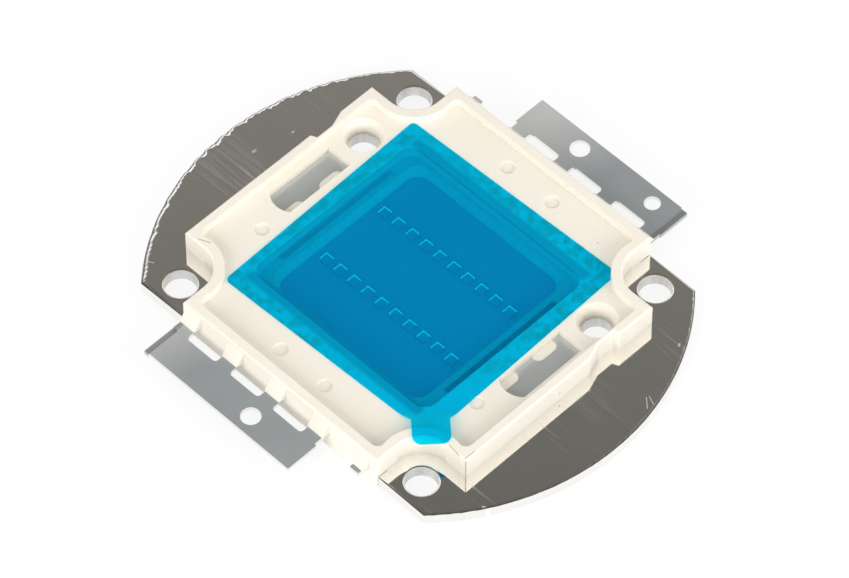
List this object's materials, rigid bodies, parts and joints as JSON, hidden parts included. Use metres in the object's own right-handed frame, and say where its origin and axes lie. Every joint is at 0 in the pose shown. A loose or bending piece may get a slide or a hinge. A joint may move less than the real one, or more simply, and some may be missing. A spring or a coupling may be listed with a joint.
{
  "type": "high-power led",
  "caption": "Chip-on-board light source: round metal plate, plastic frame with contact windows, flat solder leads and a clear cavity under a peel-off film.",
  "frame": {"origin": "centre of the plate's round outline, on the plate's underside", "axes": "+Z out of the lit side, X from lead to lead with the positive lead on +X, Y across it"},
  "size_m": [0.051, 0.056, 0.0044],
  "materials": {
    "plate_nickel": "bright nickel plating on copper, fine streaks",
    "frame_plastic": "ivory moulded plastic, satin",
    "lead_metal": "silver-plated sheet, dull",
    "solder": "dull solder film",
    "chip": "polished semiconductor",
    "wire_gold": "gold wire",
    "gel": "clear silicone",
    "film": "blue see-through film"
  },
  "bodies": {
    "root": {"base_plate": "plate_nickel", "frame": "frame_plastic", "lead_positive": "lead_metal", "lead_negative": "lead_metal", "die_attach": "solder", "chip_01": "chip", "chip_02": "chip", "chip_03": "chip", "chip_04": "chip", "chip_05": "chip", "chip_06": "chip", "chip_07": "chip", "chip_08": "chip", "chip_09": "chip", "chip_10": "chip", "chip_11": "chip", "chip_12": "chip", "chip_13": "chip", "chip_14": "chip", "chip_15": "chip", "chip_16": "chip", "chip_17": "chip", "chip_18": "chip", "chip_19": "chip", "chip_20": "chip", "bond_wires_a": "wire_gold", "bond_wires_b": "wire_gold", "encapsulant": "gel", "protective_film": "film"}
  },
  "joints": []
}
